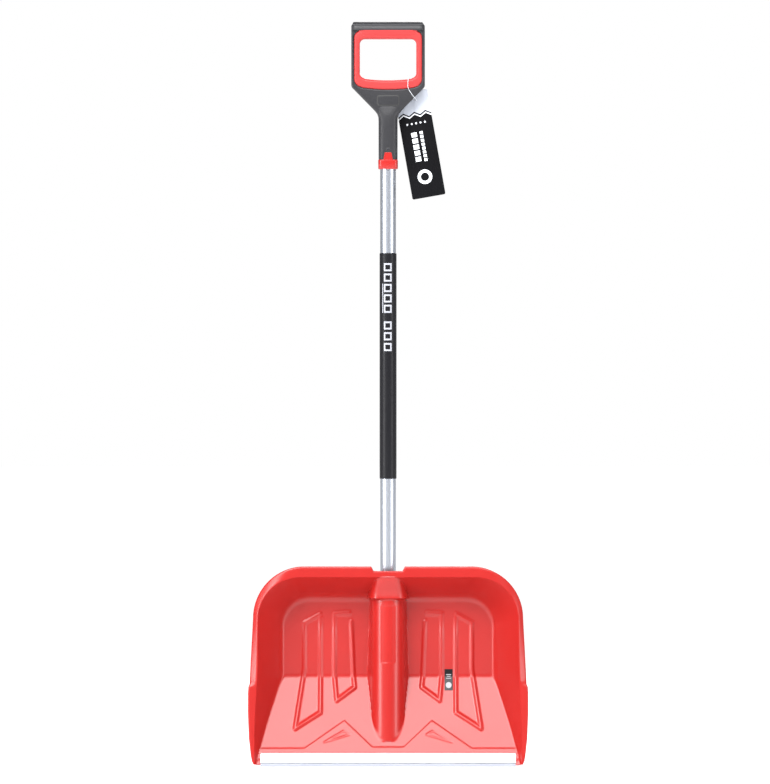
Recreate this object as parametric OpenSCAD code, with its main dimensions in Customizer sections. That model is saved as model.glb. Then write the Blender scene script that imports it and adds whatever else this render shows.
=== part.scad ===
// Snow shovel: a moulded scoop with a metal wear strip, a straight tube shaft and a D-grip.
// The origin is the middle of the cutting edge. +Z runs up along the shaft, -Y is the scoop's open side.

/* [Scoop] */
// Height of the scoop from the cutting edge to the top of its rim
scoop_h = 355; // [350:1:360]
// Half width of the rim where it leans in below the top corners
rim_half = 241; // [238:0.5:244]
// Half width of the rim at the foot of its flange
rim_foot_half = 247; // [245:0.5:249]
// Half width across the cheeks at their widest
cheek_half = 250; // [249:0.5:252]
// Radius of the rim's top corners
corner_r = 92; // [80:1:100]
// Width of the rim's flange along the sides
flange_side = 10; // [8:0.5:13]
// Width of the rim's flange along the top
flange_top = 19; // [14:0.5:22]
// Thickness of the moulded wall
wall = 3; // [2.5:0.1:4]
// Slope of the lower plate behind the vertical
plate_angle = 30; // [28:0.5:31]
// Height of the crease between the plate and the upright floor
crease_z = 157; // [154:1:160]
// Backward lean of the rim from the cutting edge to the top
rim_tilt = 7; // [6:0.5:8]

/* [Spine and socket] */
// Radius of the spine's rounded front
spine_r = 30; // [28:0.5:31]
// Backward lean of the spine
spine_lean = 5.8; // [5:0.1:6.5]
// Outer radius of the socket round the shaft
socket_r = 18; // [17:0.5:19]
// Height of the lower end of the shaft
shaft_foot = 165; // [162:1:170]

/* [Wear strip] */
// Length of the wear strip
strip_w = 454; // [440:1:456]
// Height of the wear strip
strip_h = 23.4; // [20:0.2:26]
// Thickness of the strip's sheet
strip_t = 1.5; // [1.2:0.1:1.8]

/* [Shaft] */
// Distance of the shaft's axis behind the cutting edge
shaft_y = 78; // [76:0.5:79]
// Outer diameter of the tube
tube_d = 28; // [27:0.5:28]
// Wall of the tube
tube_wall = 1.2; // [1:0.1:1.5]
// Height of the upper end of the tube
tube_top = 1155; // [1150:1:1158]
// Lower end of the black sleeve
sleeve_low = 511; // [480:1:540]
// Upper end of the black sleeve
sleeve_top = 915; // [880:1:940]
// Wall of the black sleeve
sleeve_wall = 1.2; // [1:0.1:2.5]

/* [D-grip] */
// Height of the grip's top
grip_top = 1329; // [1328:1:1330]
// Half width of the grip
grip_half = 65.8; // [65:0.2:67]
// Diameter of the hand bar
bar_d = 31; // [30:0.5:31]
// Depth of the grip's frame from front to back
frame_depth = 24; // [22:0.5:24]
// Depth of the web between the frame and the neck
web_depth = 20; // [18:0.5:21]
// Half width of the square neck
neck_half = 17; // [16.5:0.1:17.2]
// Half width of the hand opening
opening_half = 50.5; // [49.5:0.5:51]
// Width of the red liner
liner_w = 10.8; // [10:0.2:11.2]

/* [Hang tag] */
// Width of the card
tag_w = 60; // [54:1:61]
// Length of the card
tag_len = 192; // [160:1:194]
// Thickness of the card
tag_t = 0.6; // [0.5:0.1:0.8]
// Lean of the card from the vertical
tag_lean = 10; // [10:0.5:12]
// Diameter of the clear filament
loop_d = 1; // [0.8:0.1:1]

/* [Hidden] */
$fn = 64;
skin = 0.01;                                 // thickness of an outline that a hull is stretched over
over = 1;                                    // how far a cutter runs past what it cuts
floor_y = crease_z * tan(plate_angle);       // front of the upright floor
rim_lead = 4;                                // how far the rim stands ahead of the cutting edge
flange_t = 3.5;
lip_depth = 8;                               // depth of the lip that turns back from the rim
lip_t = 2.5;
cheek_foot = 4;                              // height of the cheeks' tips
cheek_top = 143;                             // height of the step where the flange starts
cheek_inner = 238;                           // half width inside the cheeks
fillet = 12;                                 // depth over which the walls round into the floor
notch_low = 347;                             // height of the bridge in the rim's notch
tube_r = tube_d / 2;
tube_in = tube_r - tube_wall;
spine_axis_y = shaft_y + 2;                  // the spine's axis at spine_ref_z
spine_ref_z = 300;
spine_foot = 42;
collar_low = 297;                            // the collar at the spine's upper end
collar_high = 332;
socket_top = 343;
rib_half = 4.3;
rib_knuckle = 0.25;                          // how much rounder a rib is at its bends
rib_proud = 2.6;                             // how far a rib stands out of the front surface
opening_low = 1224;
opening_top = 1298;
arch_rise = 4;                               // rise of the opening's curved lower edge at its ends
neck_low = 1082;
neck_top = 1165;
neck_corner = 9;
collar_z = 1065;
tongue_top = 1095;
tongue_t = 2;
screw_r = 2;
handle_screw_z = 1100;
blade_screw_z = 180;
plug_len = 26;
badge_half = 18.4;
badge_low = 1180;
badge_high = 1196;
badge_t = 1.2;
tag_y = shaft_y + 14;                        // middle of the card's thickness
tag_hole = [42.3, 1193.3];                   // X and Z of the hole in the card
tag_above = 12;                              // card above its hole
tag_hole_r = 2;
lock_size = [3.2, 3.2, 7];
lock_y = tag_y + 3;
label_low = 132;
label_high = 170;
label_x = [101, 116];
label_t = 0.2;

// Ribs on the right half of the scoop as [X, Z] down one leg, round its foot and up the other.
outer_rib = [[122, 268], [150, 253], [150, 171], [152, 157], [166, 66], [121, 94], [121, 157], [121, 262]];
inner_rib = [[70, 270], [96, 269], [96, 157], [92, 115], [60, 138], [62, 157], [66, 255]];

// Route of the filament from the lock behind the card, over the grip's web and back, as [X, Y, Z].
loop_route = [[42, 95, 1196.8], [41, 94.6, 1203], [38.6, 94, 1215], [37.4, 91.5, 1226], [37, 86, 1230],
              [36.8, 78, 1230.5], [36.4, 69, 1230], [36, 64.3, 1226], [35.4, 63.6, 1218],
              [36, 63.8, 1210], [40, 64.6, 1202.5], [45.5, 65.4, 1195], [49.6, 69, 1190.2],
              [51, 78, 1188], [49.6, 86, 1188.2], [46, 90.2, 1190.5], [42.8, 91.6, 1193.1], [42.3, 93.35, 1193.3]];
loop_steps = 3;                              // rings between two points of the route
loop_sides = 8;

// Y of the scoop's front surface at height z, away from its walls.
function front_y(z) = z < crease_z ? z * tan(plate_angle) : floor_y;
function arc(cx, cz, r, from, to, steps = 8) =
    [for (i = [0 : steps]) [cx + r * cos(from + (to - from) * i / steps), cz + r * sin(from + (to - from) * i / steps)]];
function mirrored(points) = [for (i = [len(points) - 1 : -1 : 0]) [-points[i][0], points[i][1]]];
function both(points) = concat(points, mirrored(points));

// An upright U: a flat foot below zero, sides that lean from foot_half to half, and round top corners.
function u_outline(foot_half, half, top, r) = both(concat([[foot_half, -40]], arc(half - r, top - r, r, 0, 90)));

// A closed ring with round corners and a lower edge that arches up towards its ends.
function ring_outline(half, low, top, r_low, r_top) = both(concat(
    [for (i = [0 : 6]) let (x = (half - r_low) * i / 6) [x, low + arch_rise * pow(x / opening_half, 2)]],
    arc(half - r_low, low + arch_rise + r_low, r_low, -80, 0, 5),
    arc(half - r_top, top - r_top, r_top, 0, 90, 6)));

function unit(v) = v / norm(v);
function bend(a, b, c, d, t) =
    0.5 * (2 * b + (c - a) * t + (2 * a - 5 * b + 4 * c - d) * t * t + (3 * b - a - 3 * c + d) * t * t * t);
function smooth_route(p, steps) = concat(
    [for (i = [0 : len(p) - 2], k = [0 : steps - 1])
        bend(p[max(i - 1, 0)], p[i], p[i + 1], p[min(i + 2, len(p) - 1)], k / steps)],
    [p[len(p) - 1]]);

// Draws a profile of [X, Z] upright and extrudes it forwards by depth from y.
module upright(y, depth) {
    translate([0, y, 0]) rotate([90, 0, 0]) linear_extrude(depth) children();
}

// Draws a profile of [Y, Z] seen from the side and extrudes it across by width.
module sideways(width) {
    rotate([90, 0, 90]) linear_extrude(width, center = true) children();
}

// Draws a profile in the leaning plane of the rim and extrudes it from back to front behind that plane.
module on_rim(back, front) {
    translate([0, -rim_lead, 0]) rotate([90 - rim_tilt, 0, 0]) translate([0, 0, -back])
        linear_extrude(back - front) children();
}

// The whole hollow of the scoop as one convex block, grown outwards for the outside.
module tray(grow) {
    hull() {
        on_rim(skin, 0) polygon(u_outline(cheek_inner + grow, rim_half - flange_side + grow,
                                          scoop_h - flange_top + grow, corner_r - 16 + grow));
        upright(floor_y - fillet + grow * 0.6, skin) polygon(u_outline(197 + grow, 197 + grow, 307 + grow, 58 + grow));
        upright(floor_y + grow, skin) polygon(u_outline(184, 184, 290, 45));
    }
}

// Everything in front of the plate and the upright floor, moved back by a thickness.
module before_floor(back) {
    slant = back / cos(plate_angle);
    sideways(2 * cheek_half + 2 * over)
        polygon([[-60, cheek_foot], [front_y(cheek_foot) + slant, cheek_foot],
                 [floor_y + back, crease_z + (back - slant) / tan(plate_angle)],
                 [floor_y + back, scoop_h + 20], [-60, scoop_h + 20]]);
}

module scoop_wall() {
    difference() {
        intersection() {
            tray(wall);
            before_floor(wall);
        }
        intersection() {
            union() {
                tray(0);
                on_rim(0.5, -20) polygon(u_outline(cheek_inner, rim_half - flange_side, scoop_h - flange_top, corner_r - 16));
            }
            before_floor(0);
        }
    }
}

module rim_shape(inset) {
    low = cheek_top - 10;
    intersection() {
        polygon(u_outline(rim_foot_half + 4 - inset, rim_half - inset, scoop_h - inset, corner_r - inset));
        translate([-cheek_half, low]) square([2 * cheek_half, scoop_h]);
    }
}

module cheek_shape() {
    polygon(both([[cheek_inner - 2, cheek_foot + 2], [cheek_half - 10, cheek_foot], [cheek_half - 6, 20],
                  [cheek_half - 2, 50], [cheek_half, 95], [cheek_half, cheek_top - 6],
                  [rim_foot_half, cheek_top], [cheek_inner - 2, cheek_top]]));
}

module flange() {
    difference() {
        union() {
            on_rim(flange_t, 0) union() {
                rim_shape(0);
                cheek_shape();
            }
            on_rim(lip_depth, 0) difference() {
                rim_shape(0);
                rim_shape(lip_t);
            }
        }
        on_rim(60, -20) polygon(u_outline(cheek_inner, rim_half - flange_side, scoop_h - flange_top, corner_r - 16));
        on_rim(60, -20) polygon([[-31, scoop_h + over], [-25, notch_low], [25, notch_low], [31, scoop_h + over]]);
    }
}

module spine_line(low, high, r1, r2) {
    translate([0, spine_axis_y, spine_ref_z]) rotate([-spine_lean, 0, 0])
        translate([0, 0, low - spine_ref_z]) cylinder(h = high - low, r1 = r1, r2 = r2);
}

// A flat stroke with round ends along a line of [X, Z] points.
module stroke(points) {
    for (p = points) translate(p) circle(rib_half + rib_knuckle, $fn = 32);
    for (i = [0 : len(points) - 2]) {
        step = points[i + 1] - points[i];
        translate(points[i]) rotate(atan2(step[1], step[0])) translate([0, -rib_half])
            square([norm(step), 2 * rib_half]);
    }
}

// The ribs stand a little way out of the front surface, on the plate and on the floor alike.
module ribs() {
    intersection() {
        upright(floor_y + wall, floor_y + wall) for (side = [0, 1]) mirror([side, 0]) {
            stroke(outer_rib);
            stroke(inner_rib);
        }
        difference() {
            before_floor(wall / 2);
            before_floor(-rib_proud);
        }
    }
}

module spine_outside() {
    spine_line(spine_foot, 330, spine_r, spine_r);
    spine_line(collar_low, collar_high, spine_r + 5, spine_r - 2);
}

module spine_hollow() {
    spine_line(spine_foot + 16, 316, spine_r - wall, spine_r - wall);
    translate([-spine_r + 6, spine_axis_y - 6, 90]) cube([2 * spine_r - 12, 40, 200]);
}

// Webs that tie the socket and the spine together across the hollow behind.
module spine_webs() {
    intersection() {
        union() {
            for (z = [205, 245, 285]) translate([-40, 0, z]) cube([80, 120, 2.5]);
            translate([-1.25, 0, spine_foot]) cube([2.5, 120, shaft_foot - spine_foot]);
            for (z = [90, 125]) translate([-40, 0, z]) cube([80, 120, 2.5]);
        }
        spine_outside();
        before_floor(wall);
    }
}

module blade() {
    color("crimson") difference() {
        union() {
            difference() {
                union() {
                    scoop_wall();
                    flange();
                    ribs();
                    intersection() {
                        spine_outside();
                        tray(wall);
                        before_floor(wall);
                    }
                }
                spine_hollow();
            }
            spine_webs();
            translate([0, shaft_y, shaft_foot - 4]) cylinder(h = socket_top - shaft_foot + 4, r = socket_r);
            translate([0, shaft_y + tube_r + 1, blade_screw_z]) rotate([-90, 0, 0]) cylinder(h = 5, r = 6);
        }
        translate([0, shaft_y, shaft_foot]) cylinder(h = socket_top, r = tube_r + 0.05, $fn = 96);
        translate([0, shaft_y, blade_screw_z]) rotate([-90, 0, 0]) cylinder(h = 30, r = screw_r);
    }
}

// The strip is drawn along the plate and cut level at the ground.
module wear_strip() {
    up = strip_h / cos(plate_angle);
    color("gainsboro") intersection() {
        rotate([-plate_angle, 0, 0]) sideways(strip_w) difference() {
            translate([-strip_t, -8]) square([wall + 2 * strip_t, up + 8]);
            translate([-0.02, front_y(cheek_foot) + 2]) square([wall + 0.04, up + over]);
        }
        translate([-cheek_half, -60, 0]) cube([2 * cheek_half, 120, 60]);
    }
}

module shaft_tube() {
    color("silver") translate([0, shaft_y, 0]) difference() {
        translate([0, 0, shaft_foot]) cylinder(h = tube_top - shaft_foot, r = tube_r);
        translate([0, 0, shaft_foot - over]) cylinder(h = tube_top, r = tube_in);
        translate([0, 0, blade_screw_z]) rotate([-90, 0, 0]) cylinder(h = 30, r = screw_r);
        translate([0, 0, handle_screw_z]) rotate([90, 0, 0]) cylinder(h = 30, r = screw_r);
    }
}

module shaft_sleeve() {
    color([0.13, 0.13, 0.14]) translate([0, shaft_y, sleeve_low]) difference() {
        cylinder(h = sleeve_top - sleeve_low, r = tube_r + sleeve_wall);
        translate([0, 0, -over]) cylinder(h = sleeve_top, r = tube_r);
    }
}

module plug(low, screw_z, turn) {
    color("dimgray") translate([0, shaft_y, 0]) difference() {
        translate([0, 0, low]) cylinder(h = plug_len, r = tube_in);
        translate([0, 0, screw_z]) rotate([turn, 0, 0]) cylinder(h = 30, r = screw_r);
    }
}

module shaft_plug_bottom() {
    plug(shaft_foot, blade_screw_z, -90);
}

module shaft_plug_top() {
    plug(handle_screw_z - plug_len / 2, handle_screw_z, 90);
}

module blade_screw() {
    color("lightgray") translate([0, shaft_y, blade_screw_z]) rotate([-90, 0, 0]) {
        cylinder(h = tube_r + 6, r = screw_r);
        translate([0, 0, tube_r + 6]) cylinder(h = 2.2, r = 3.6);
    }
}

module handle_screw() {
    color("lightgray") translate([0, shaft_y, handle_screw_z]) rotate([90, 0, 0]) {
        cylinder(h = tube_r + 1, r = screw_r);
        translate([0, 0, tube_r + 1]) cylinder(h = 1.6, r = 3.4);
    }
}

module grip_outline() {
    polygon(both(concat([[neck_half, neck_low], [neck_half, 1159], [18.4, 1163.4], [21, 1167]],
                        arc(grip_half - 8, 1216, 8, -45, 0), arc(grip_half - 6, grip_top - 6, 6, 0, 90))));
}

module opening_outline() {
    polygon(ring_outline(opening_half, opening_low, opening_top, 9, 9));
}

module liner_outline() {
    polygon(ring_outline(opening_half + liner_w, opening_low - 17, opening_top + 16, 16, 15));
}

module neck_square(half, corner) {
    square([2 * half, 2 * (half - corner)], center = true);
    square([2 * (half - corner), 2 * half], center = true);
    for (x = [-1, 1], y = [-1, 1]) translate([x * (half - corner), y * (half - corner)]) circle(corner);
}

module tongue_outline() {
    polygon(both([[8.5, neck_low - over], [6, tongue_top]]));
}

module hand_bar() {
    translate([0, shaft_y, grip_top - bar_d / 2]) rotate([0, 90, 0])
        cylinder(h = 2 * (grip_half - 3), r = bar_d / 2, center = true);
}

module tongues() {
    upright(shaft_y - neck_half + tongue_t, tongue_t) tongue_outline();
    upright(shaft_y + neck_half, tongue_t) tongue_outline();
}

module handle_body() {
    color([0.33, 0.33, 0.35]) difference() {
        union() {
            upright(shaft_y + web_depth / 2, web_depth) intersection() {
                grip_outline();
                translate([-grip_half, neck_top - 10]) square([2 * grip_half, grip_top]);
            }
            upright(shaft_y + frame_depth / 2, frame_depth) intersection() {
                grip_outline();
                translate([-grip_half, badge_high + 3]) square([2 * grip_half, grip_top]);
            }
            hand_bar();
            translate([0, shaft_y, neck_low]) linear_extrude(neck_top - neck_low) neck_square(neck_half, neck_corner);
        }
        upright(shaft_y + 30, 60) liner_outline();
        translate([0, shaft_y, neck_low - over]) cylinder(h = tube_top - neck_low + over, r = tube_r);
        tongues();
        upright(shaft_y - web_depth / 2 + badge_t, badge_t + over) badge_outline();
        translate([0, shaft_y, handle_screw_z]) rotate([90, 0, 0]) cylinder(h = 30, r = screw_r);
        translate([0, shaft_y - tube_r - 1, handle_screw_z]) rotate([90, 0, 0]) cylinder(h = 30, r = 3.6);
    }
}

module grip_liner() {
    color("indianred") difference() {
        union() {
            upright(shaft_y + frame_depth / 2 + 0.6, frame_depth + 1.2) liner_outline();
            intersection() {
                hand_bar();
                upright(shaft_y + 30, 60) liner_outline();
            }
        }
        upright(shaft_y + 30, 60) opening_outline();
    }
}

module handle_collar() {
    color("crimson") {
        difference() {
            translate([0, shaft_y, collar_z]) linear_extrude(neck_low - collar_z) neck_square(neck_half + 0.7, neck_corner);
            translate([0, shaft_y, collar_z - over]) cylinder(h = 40, r = tube_r);
        }
        intersection() {
            tongues();
            translate([-20, 0, neck_low]) cube([40, 200, 30]);
        }
    }
}

module badge_outline() {
    r = 4;
    translate([-badge_half + r, badge_low]) square([2 * (badge_half - r), badge_high - badge_low]);
    translate([-badge_half, badge_low + r]) square([2 * badge_half, badge_high - badge_low - 2 * r]);
    for (x = [-badge_half + r, badge_half - r], z = [badge_low + r, badge_high - r]) translate([x, z]) circle(r);
}

module badge_plate() {
    color([0.3, 0.3, 0.32]) upright(shaft_y - web_depth / 2 + badge_t, badge_t + 0.4) badge_outline();
}

module hang_tag() {
    color([0.05, 0.05, 0.06]) translate([tag_hole[0], tag_y, tag_hole[1]]) rotate([0, -tag_lean, 0]) difference() {
        translate([-tag_w / 2, -tag_t / 2, tag_above - tag_len]) cube([tag_w, tag_t, tag_len]);
        rotate([90, 0, 0]) cylinder(h = 10, r = tag_hole_r, center = true);
    }
}

module tag_loop() {
    path = smooth_route(loop_route, loop_steps);
    last = len(path) - 1;
    across = unit([0.95, 0, 0.3]);
    points = [for (i = [0 : last], k = [0 : loop_sides - 1])
        let (along = unit(path[min(i + 1, last)] - path[max(i - 1, 0)]),
             up = unit(cross(along, across)),
             out = cross(up, along),
             a = 360 * k / loop_sides)
        path[i] + loop_d / 2 * (cos(a) * out + sin(a) * up)];
    faces = concat([[for (k = [0 : loop_sides - 1]) k]],
                   [[for (k = [loop_sides - 1 : -1 : 0]) last * loop_sides + k]],
                   [for (i = [0 : last - 1], k = [0 : loop_sides - 1]) let (n = (k + 1) % loop_sides)
                       [i * loop_sides + k, (i + 1) * loop_sides + k, (i + 1) * loop_sides + n, i * loop_sides + n]]);
    color("lightcyan") polyhedron(points, faces);
}

module tag_lock() {
    color("azure") translate([tag_hole[0], lock_y, tag_hole[1]]) cube(lock_size, center = true);
}

// The label is folded over the crease, so its section is drawn once and stretched across.
module blade_label() {
    fold_z = crease_z + label_t * (1 / cos(plate_angle) - 1) / tan(plate_angle);
    low_y = label_low * tan(plate_angle);
    section = [[low_y, label_low], [floor_y, crease_z], [floor_y, label_high], [floor_y - label_t, label_high],
               [floor_y - label_t, fold_z], [low_y - label_t / cos(plate_angle), label_low]];
    color("black") translate([(label_x[0] + label_x[1]) / 2, 0, 0]) sideways(label_x[1] - label_x[0]) polygon(section);
}

blade();
wear_strip();
shaft_tube();
shaft_sleeve();
shaft_plug_bottom();
shaft_plug_top();
blade_screw();
handle_body();
grip_liner();
handle_collar();
badge_plate();
handle_screw();
hang_tag();
tag_loop();
tag_lock();
blade_label();
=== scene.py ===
# %% [markdown]
# # A snow shovel in Blender
# The shovel is a red moulded scoop with an aluminium wear strip, a sleeved aluminium shaft and a D-grip
# with a soft red liner. A card tag hangs from the grip on a loop of clear filament. The sizes come from a
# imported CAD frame, so this lesson starts by loading it and keeping the box that the frame fills.

# %% Load the frame
import bpy
import bmesh
import math
import numpy as np
from mathutils import Vector, Matrix


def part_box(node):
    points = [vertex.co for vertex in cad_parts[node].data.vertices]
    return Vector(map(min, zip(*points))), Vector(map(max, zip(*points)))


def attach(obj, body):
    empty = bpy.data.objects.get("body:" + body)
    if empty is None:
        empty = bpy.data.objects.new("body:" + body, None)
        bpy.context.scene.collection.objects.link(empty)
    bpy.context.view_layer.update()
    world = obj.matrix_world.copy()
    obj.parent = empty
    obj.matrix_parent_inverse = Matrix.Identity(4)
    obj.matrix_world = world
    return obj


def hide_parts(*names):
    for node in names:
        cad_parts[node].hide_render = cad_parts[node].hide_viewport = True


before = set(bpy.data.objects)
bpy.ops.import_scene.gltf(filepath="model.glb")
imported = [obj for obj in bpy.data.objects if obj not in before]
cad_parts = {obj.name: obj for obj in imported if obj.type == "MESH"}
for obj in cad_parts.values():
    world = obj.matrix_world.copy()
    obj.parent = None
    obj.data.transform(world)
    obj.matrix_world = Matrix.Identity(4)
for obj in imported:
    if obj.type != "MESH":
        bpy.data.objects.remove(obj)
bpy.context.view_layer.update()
MM = 0.001
SHOVEL, LOOP, TAG = "shovel", "loop", "tag"

# %% [markdown]
# The camera looks straight at the open side of the scoop from far away through a long lens, so upright
# lines stay upright and the grip isn't drawn smaller than the scoop. Working out the lens from the height
# that the view should take in keeps the framing easy to change.

# %% Camera
VIEW_HEIGHT = 1.398
CAMERA_DISTANCE = 12.0
SENSOR = 36.0
AIM = Vector((-0.0055, 0.03, 0.6664))
lens = bpy.data.cameras.new("camera")
lens.sensor_width = SENSOR
lens.lens = SENSOR * CAMERA_DISTANCE / VIEW_HEIGHT
lens.clip_end = 60
camera = bpy.data.objects.new("camera", lens)
camera.location = (AIM.x, AIM.y - CAMERA_DISTANCE, AIM.z)
camera.rotation_euler = (math.radians(90), 0, 0)
bpy.context.collection.objects.link(camera)
bpy.context.scene.camera = camera
print("lens:", round(lens.lens, 1), "mm")

# %% [markdown]
# Small helpers save a lot of repetition. One turns a list of points and faces into an object with smooth
# shading, and one dresses it: material and the CAD body it moves with.

# %% Helpers for making and dressing a piece
def new_piece(name, points, faces, sharp=40):
    """A mesh object from points in metres, smooth except where faces meet more sharply than the angle."""
    mesh = bpy.data.meshes.new(name)
    mesh.from_pydata([tuple(p) for p in points], [], faces)
    weld(mesh, 1e-6)
    return placed(name, mesh, sharp)


def weld(mesh, distance):
    """Joins the points that lie closer than the distance and turns all faces the same way out."""
    joined = bmesh.new()
    joined.from_mesh(mesh)
    bmesh.ops.remove_doubles(joined, verts=joined.verts, dist=distance)
    bmesh.ops.recalc_face_normals(joined, faces=joined.faces)
    joined.to_mesh(mesh)
    joined.free()


def placed(name, mesh, sharp):
    """Puts a mesh into the scene as a smooth-shaded object."""
    obj = bpy.data.objects.new(name, mesh)
    bpy.context.collection.objects.link(obj)
    shade(obj, sharp)
    return obj


def shade(obj, sharp=40):
    """Smooth shading with creases kept where the surface turns by more than the angle."""
    mesh = obj.data
    mesh.polygons.foreach_set("use_smooth", [True] * len(mesh.polygons))
    edges = bmesh.new()
    edges.from_mesh(mesh)
    limit = math.radians(sharp)
    for edge in edges.edges:
        if len(edge.link_faces) == 2:
            edge.smooth = edge.calc_face_angle(0) < limit
    edges.to_mesh(mesh)
    edges.free()


def dress(obj, material, body, slot, *nodes):
    """Gives a piece its material and body, and hides the CAD nodes that it stands for. The slot is not used.
    """
    obj.data.materials.clear()
    obj.data.materials.append(material)
    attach(obj, body)
    if nodes:
        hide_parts(*nodes)
    print(obj.name, "-", len(obj.data.polygons), "faces")
    return obj


def apply_modifiers(obj):
    """Turns an object's modifiers into plain mesh."""
    graph = bpy.context.evaluated_depsgraph_get()
    made = bpy.data.meshes.new_from_object(obj.evaluated_get(graph))
    obj.modifiers.clear()
    obj.data = made


# %% [markdown]
# Most pieces of a shovel are tubes, bars and swelling necks, so they are made as a skin over a row of
# rings. A loft needs no modifier and gives even faces that follow the shape.

# %% Helpers for lofted and turned pieces
def loft(rings, closed_ends=True):
    """Points and faces of a skin stretched over rings that all have the same number of points."""
    count = len(rings[0])
    points = [p for ring in rings for p in ring]
    faces = []
    for i in range(len(rings) - 1):
        for k in range(count):
            n = (k + 1) % count
            faces.append((i * count + k, i * count + n, (i + 1) * count + n, (i + 1) * count + k))
    if closed_ends:
        faces.append(tuple(range(count - 1, -1, -1)))
        faces.append(tuple((len(rings) - 1) * count + k for k in range(count)))
    return points, faces


def round_angles(count):
    """Evenly spaced angles once round a circle."""
    return [2 * math.pi * k / count for k in range(count)]


def turned(profile, sides, axis_y=0.0):
    """Rings of a turned part: profile is a list of (radius, height) in millimetres."""
    return [[(r * math.cos(a) * MM, (axis_y + r * math.sin(a)) * MM, z * MM) for a in round_angles(sides)]
            for r, z in profile]


def skin(name, rings, material, body, slot, *nodes, sharp=40, closed_ends=True):
    """A dressed piece made of one skin over the rings."""
    return dress(new_piece(name, *loft(rings, closed_ends), sharp=sharp), material, body, slot, *nodes)

# %% [markdown]
# Every finish below is a Principled shader with a fine bump and a little uneven roughness, because no
# moulded or drawn surface is perfectly even. The noise reads object coordinates, so its grain has a real
# size in metres. One function builds them all and each finish gives it only its own values.

# %% A finish with grain, uneven gloss and slight colour change
def finish(name, color, roughness, grain=900, bump=0.05, stretch=(1, 1, 1), metallic=0.0, vary=0.06,
           tint=0.06, **sockets):
    """A procedural material: grain is how fine the bump is, vary and tint how uneven gloss and colour are."""
    material = bpy.data.materials.new(name)
    material.use_nodes = True
    nodes, links = material.node_tree.nodes, material.node_tree.links
    shader = nodes["Principled BSDF"]
    shader.inputs["Metallic"].default_value = metallic
    for socket, value in sockets.items():
        shader.inputs[socket.replace("_", " ")].default_value = value
    place = nodes.new("ShaderNodeTexCoord")
    scale = nodes.new("ShaderNodeMapping")
    scale.inputs["Scale"].default_value = stretch
    links.new(place.outputs["Object"], scale.inputs["Vector"])
    broad = nodes.new("ShaderNodeTexNoise")
    broad.inputs["Scale"].default_value = 14
    broad.inputs["Detail"].default_value = 3
    links.new(scale.outputs["Vector"], broad.inputs["Vector"])
    gloss = nodes.new("ShaderNodeMapRange")
    gloss.inputs["To Min"].default_value = roughness - vary
    gloss.inputs["To Max"].default_value = roughness + vary
    links.new(broad.outputs["Fac"], gloss.inputs["Value"])
    links.new(gloss.outputs["Result"], shader.inputs["Roughness"])
    colors = nodes.new("ShaderNodeMix")
    colors.data_type = "RGBA"
    colors.inputs["A"].default_value = (*[c * (1 - tint) for c in color], 1)
    colors.inputs["B"].default_value = (*[min(1, c * (1 + tint)) for c in color], 1)
    links.new(broad.outputs["Fac"], colors.inputs["Factor"])
    links.new(colors.outputs["Result"], shader.inputs["Base Color"])
    fine = nodes.new("ShaderNodeTexNoise")
    fine.inputs["Scale"].default_value = grain
    fine.inputs["Detail"].default_value = 3
    links.new(scale.outputs["Vector"], fine.inputs["Vector"])
    raised = nodes.new("ShaderNodeBump")
    raised.inputs["Strength"].default_value = bump
    raised.inputs["Distance"].default_value = 0.0002
    links.new(fine.outputs["Fac"], raised.inputs["Height"])
    links.new(raised.outputs["Normal"], shader.inputs["Normal"])
    return material


# %% [markdown]
# The real shovel has few finishes: glossy red polypropylene, brushed aluminium, a grained dark grey grip
# plastic and a soft matt red for the liner. Metals are stretched along their drawing direction.

# %% The finishes
scoop_red = finish("scoop_red", (0.345, 0.010, 0.008), 0.31, grain=1400, bump=0.03, vary=0.02)
strip_alu = finish("strip_aluminium", (0.80, 0.82, 0.86), 0.32, grain=500, bump=0.10,
                   stretch=(0.04, 1, 1), metallic=1.0, vary=0.03)
tube_alu = finish("tube_aluminium", (0.47, 0.50, 0.56), 0.34, grain=900, bump=0.08,
                  stretch=(1, 1, 0.02), metallic=1.0)
grip_grey = finish("grip_grey", (0.019, 0.019, 0.022), 0.45, grain=1500, bump=0.22,
                   Specular_IOR_Level=0.35)
liner_red = finish("liner_soft_red", (0.40, 0.018, 0.018), 0.55, grain=1900, bump=0.18)
plug_black = finish("plug_black", (0.02, 0.02, 0.02), 0.55, bump=0.1)
zinc = finish("zinc_screw", (0.62, 0.63, 0.66), 0.32, metallic=1.0, vary=0.03)
dark_steel = finish("dark_steel_screw", (0.07, 0.07, 0.08), 0.40, metallic=1.0)
nylon = finish("clear_nylon", (0.86, 0.89, 0.93), 0.22, bump=0.02, tint=0.01,
               Transmission_Weight=0.45, IOR=1.53)
for material in (scoop_red, strip_alu, tube_alu, grip_grey, liner_red, plug_black, zinc, dark_steel, nylon):
    print("finish:", material.name)

# %% [markdown]
# The filament comes before the rest because its route decides whether the view is wide enough. It is a
# 1 mm clear nylon loop: out of the little lock behind the card, up behind the grip, through the hand
# opening, down the front of the web and round its edge to the hole in the card. Its route is the same
# list as in the CAD file, rounded with the same spline.

# %% The filament loop
LOOP_D = 1.0
LOOP_ROUTE = [(42, 95, 1196.8), (41, 94.6, 1203), (38.6, 94, 1215), (37.4, 91.5, 1226), (37, 86, 1230),
              (36.8, 78, 1230.5), (36.4, 69, 1230), (36, 64.3, 1226), (35.4, 63.6, 1218),
              (36, 63.8, 1210), (40, 64.6, 1202.5), (45.5, 65.4, 1195), (49.6, 69, 1190.2),
              (51, 78, 1188), (49.6, 86, 1188.2), (46, 90.2, 1190.5), (42.8, 91.6, 1193.1),
              (42.3, 93.35, 1193.3)]


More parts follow.
